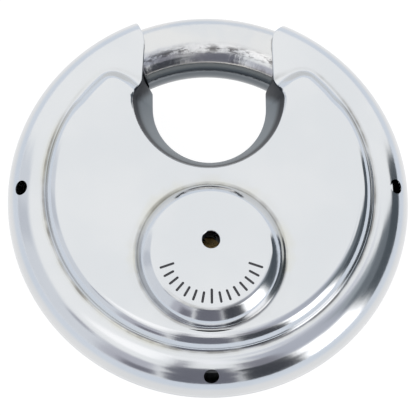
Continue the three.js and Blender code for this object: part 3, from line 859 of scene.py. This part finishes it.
rear_cutters = mouth_cutters() + [rim_hole_cutter(a) for a in RIM_HOLE["angles"]] + tick_cutters()
rear_cutters.append(face_drill(**SERVICE_HOLE))
rear = shell("drawn_rear_shell", REAR_BOSS, rear_cutters, False)
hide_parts("rear_shell")
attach(rear, "casing")

front_cutters = mouth_cutters() + [face_drill(**PLUG_OPENING)]
front = shell("drawn_front_shell", FRONT_BOSS, front_cutters, True)
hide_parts("front_shell")
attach(front, "casing")


# ---- Shackle ----------------------------------------------------------------------------

def shackle_bar():
    """The bent bar, with its tail cut flat for the arm and its ends rounded."""
    sheet = Sheet()
    sides = 72
    turns = np.linspace(0, 360, sides + 1)[:-1]
    rings = []

    def ring(angle, tube, flat=False):
        row = []
        for turn in turns:
            out, up = polar(tube, turn)
            x, y = polar(BAR_RING + out, angle)
            z = SEAM_Z + up
            row.append([x, y, min(z, BAR_FLAT["z"]) if flat else z])
        rings.append(row)

    degrees_of = math.degrees(1 / BAR_RING)
    for t in (0.25, 0.5, 0.75, 1.0):
        back = BAR_EASE * (1 - math.sin(t * math.pi / 2))
        ring(BAR_FROM + back * degrees_of, BAR_RADIUS - back * 0.6, True)
    for angle in np.linspace(BAR_FROM + 3, BAR_FLAT["until"], 12):
        ring(angle, BAR_RADIUS, True)
    for angle in np.linspace(BAR_FLAT["until"] + 0.02, BAR_TO - BAR_EASE * degrees_of, 112):
        ring(angle, BAR_RADIUS)
    for t in np.linspace(0, 1, 8)[1:]:
        turn = t * math.pi / 2
        back = BAR_EASE * (1 - math.sin(turn))
        ring(BAR_TO - back * degrees_of, BAR_RADIUS - BAR_EASE * (1 - math.cos(turn)))
    sheet.grid(rings, closed=True)
    sheet.face([sheet.vertex(p) for p in rings[0]][::-1])
    sheet.face([sheet.vertex(p) for p in rings[-1]])
    return outward(new_object("bent_shackle_bar", sheet.points, sheet.faces))


def paint_bar(obj):
    """Marks painted shade on the side towards the notch and underneath, and painted reflections along the
    bar.
    """
    mesh = obj.data
    places = np.empty(len(mesh.vertices) * 3)
    mesh.vertices.foreach_get("co", places)
    places = places.reshape(-1, 3) / MM
    inward = BAR_RING - np.hypot(places[:, 0], places[:, 1])
    lean = np.degrees(np.arctan2(inward, np.abs(places[:, 2] - SEAM_Z)))
    # Painted shade on the underside and, darker, on the side towards the notch.
    painted_shade_under = np.clip((lean - 59) / 3, 0, 1)
    inner = np.clip((lean - 69) / 3, 0, 1)
    # Painted reflections: dark streaks at two leans of the section, and a pale band between them.
    painted_dark_streak = np.exp(-((lean - 21) / 7) ** 2) + 0.7 * np.exp(-((lean - 44) / 4) ** 2)
    painted_light_band = np.clip((lean - 44) / 3, 0, 1) * np.clip((61 - lean) / 4, 0, 1)
    for name, data in (("painted_shade_under", painted_shade_under), ("inner", inner), ("painted_dark_streak", np.clip(painted_dark_streak, 0, 1)), ("painted_light_band", painted_light_band)):
        mesh.attributes.new(name, "FLOAT", "POINT").data.foreach_set("value", data.astype(np.float32))


bar = shackle_bar()
paint_bar(bar)
smooth(bar)
bar.data.materials.append(BAR)
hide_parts("shackle")
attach(bar, "shackle")


# ---- Finishes of the CAD nodes ----------------------------------------------------------

def finish_of(node):
    if node.startswith(("key_plug", "key_pin", "cylinder_housing")):
        return BRASS
    if node.startswith("pin_spring") or node == "retaining_clip":
        return SPRING
    if node == "inner_body":
        return ZINC
    return PLAIN


for name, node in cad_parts.items():
    node.data.materials.clear()
    node.data.materials.append(finish_of(name))


# ---- Pin springs ------------------------------------------------------------------------


def squeezed_spring(number):
    """A copy of the spring, on the casing in place of its CAD node."""
    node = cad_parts[f"pin_spring_{number}"]
    spring = bpy.data.objects.new(f"coiled_pin_spring_{number}", node.data.copy())
    bpy.context.scene.collection.objects.link(spring)
    spring.matrix_world = node.matrix_world
    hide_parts(f"pin_spring_{number}")
    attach(spring, "casing")
    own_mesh(spring)


for number in range(1, 5):
    squeezed_spring(number)


# ---- Floor, light and camera ------------------------------------------------------------

FLOOR_HALF = 6.0               # metres


def make_floor():
    """A wide pale floor that gives off light of its own, so that it stays near white."""
    sheet = Sheet()
    span = np.linspace(-FLOOR_HALF, FLOOR_HALF, 13)
    sheet.grid([[[x / MM, y / MM, -0.02] for x in span] for y in span])
    floor = new_object("floor", sheet.points, sheet.faces)
    s = Shader("pale_floor")
    tone = s.noise(s.where(), 30.0, 3.0)
    colour = s.blend(tone, (0.15, 0.15, 0.155, 1), (0.17, 0.17, 0.17, 1))
    floor.data.materials.append(s.finish(colour, 0.9, metallic=0.0))
    s.bsdf.inputs["Specular IOR Level"].default_value = 0.0
    flat = s.node("ShaderNodeVectorMath", {0: s.where()}, operation="LENGTH").outputs["Value"]
    glow = s.blend(s.span(flat, 0.052, 0.085), (1, 1, 1, 1), (0.83, 0.90, 1.0, 1))
    s.put(s.bsdf.inputs["Emission Color"], glow)
    s.bsdf.inputs["Emission Strength"].default_value = 0.93


# Soft cards and flags of the studio, as parts of the sky: tilt from overhead (from, to), azimuth
# from +X (middle, half width), softness, brightness; degrees. Each covers what is listed before it.
CARDS = [
    ((84, 181), (0, 181), 12, (0.94, 1.00, 1.10)),
    ((2, 36), (-133, 24), 8, (1.50, 1.50, 1.52)),
    ((3, 24), (-82, 12), 6, (1.35, 1.35, 1.40)),
    ((42, 96), (-170, 48), 12, (0.93, 0.97, 1.04)),
    ((52, 92), (171, 10), 6, (0.76, 0.80, 0.88)),
    ((46, 58), (-148, 9), 4, (0.52, 0.53, 0.60)),
    ((44, 92), (-122, 15), 7, (0.64, 0.65, 0.73)),
    ((66, 88), (-117, 9), 5, (0.25, 0.25, 0.30)),
    ((0, 26), (6, 34), 8, (0.86, 0.89, 0.98)),
    ((8, 50), (-28, 38), 7, (0.62, 0.65, 0.74)),
    ((12, 46), (-101, 5), 3, (0.38, 0.38, 0.44)),
    ((34, 95), (-92, 17), 5, (0.21, 0.215, 0.26)),
    ((22, 60), (-64, 12), 6, (0.31, 0.31, 0.36)),
    ((46, 92), (-64, 13), 3, (0.07, 0.075, 0.09)),
    ((18, 100), (-4, 21), 12, (0.42, 0.47, 0.51)),
    ((34, 100), (-3, 21), 7, (0.20, 0.23, 0.26)),
    ((58, 100), (6, 25), 5, (0.10, 0.12, 0.14)),
    ((48, 124), (-37.5, 13.5), 3, (2.2, 2.2, 2.25)),
]
SKY = (1.21, 1.23, 1.25)
WOBBLE = 5.0                   # degrees that the cards' edges waver by


def make_world():
    """The studio's sky, each card laid over the ones before it."""
    world = bpy.data.worlds.new("studio")
    bpy.context.scene.world = world
    world.use_nodes = True
    tree = world.node_tree
    tree.nodes.clear()

    def node(kind, values=(), **settings):
        made = tree.nodes.new(kind)
        for key, value in settings.items():
            setattr(made, key, value)
        for key, value in dict(values).items():
            if isinstance(value, bpy.types.NodeSocket):
                tree.links.new(value, made.inputs[key])
            else:
                made.inputs[key].default_value = value
        return made

    def calc(operation, a, b=0.0, c=0.0):
        return node("ShaderNodeMath", {0: a, 1: b, 2: c}, operation=operation).outputs[0]

    def edge(value, size, soft):
        """1 well inside the size, 0 outside it."""
        limits = {"Value": value, "From Min": size - soft, "From Max": size, "To Min": 1.0, "To Max": 0.0}
        return node("ShaderNodeMapRange", limits, interpolation_type="SMOOTHSTEP").outputs[0]

    look = node("ShaderNodeTexCoord").outputs["Generated"]
    parts = node("ShaderNodeSeparateXYZ", {0: look}).outputs
    noise = node("ShaderNodeTexNoise", {"Vector": look, "Scale": 4.5, "Detail": 4.0, "Roughness": 0.6})
    waver = calc("MULTIPLY", calc("SUBTRACT", noise.outputs["Fac"], 0.5), 2 * WOBBLE)
    tilt = calc("ADD", calc("DEGREES", calc("ARCCOSINE", parts[2])), waver)
    azimuth = calc("ADD", calc("DEGREES", calc("ARCTAN2", parts[1], parts[0])), waver)
    colour = (*SKY, 1)
    for (start, end), (middle, half), soft, shade in CARDS:
        rise = calc("ABSOLUTE", calc("SUBTRACT", tilt, (start + end) / 2))
        across = calc("ABSOLUTE", calc("WRAP", calc("SUBTRACT", azimuth, middle), 180.0, -180.0))
        mask = calc("MULTIPLY", edge(rise, (end - start) / 2, soft), edge(across, half, soft))
        mixed = node("ShaderNodeMix", data_type="RGBA")
        tree.links.new(mask, mixed.inputs[0])
        if isinstance(colour, bpy.types.NodeSocket):
            tree.links.new(colour, mixed.inputs[6])
        else:
            mixed.inputs[6].default_value = colour
        mixed.inputs[7].default_value = (*shade, 1)
        colour = mixed.outputs[2]
    background = node("ShaderNodeBackground", {"Color": colour, "Strength": 1.0})
    output = node("ShaderNodeOutputWorld")
    tree.links.new(background.outputs[0], output.inputs[0])


def make_camera():
    """The photo's view: nearly square on to the rear face, tipped a little towards the bottom."""
    elevation, azimuth, roll = math.radians(73.71), math.radians(-6.43), math.radians(5.97)
    distance = 0.400
    target = Vector((-0.000062, -0.001371, SEAM_Z * MM))
    back = Vector((math.sin(azimuth) * math.cos(elevation), -math.cos(azimuth) * math.cos(elevation),
                   math.sin(elevation)))
    right = Vector((math.cos(azimuth), math.sin(azimuth), 0))
    up = back.cross(right)
    turned_right = right * math.cos(roll) + up * math.sin(roll)
    turned_up = up * math.cos(roll) - right * math.sin(roll)
    camera = bpy.data.objects.new("camera", bpy.data.cameras.new("camera"))
    bpy.context.scene.collection.objects.link(camera)
    pose = Matrix((turned_right, turned_up, back)).transposed().to_4x4()
    pose.translation = target + back * distance
    camera.matrix_world = pose
    camera.data.sensor_width = 36.0
    camera.data.lens = 198.16
    camera.data.clip_start = 0.01
    camera.data.clip_end = 50.0
    bpy.context.scene.camera = camera


make_floor()
make_world()
make_camera()
bpy.context.scene.view_settings.view_transform = "Standard"
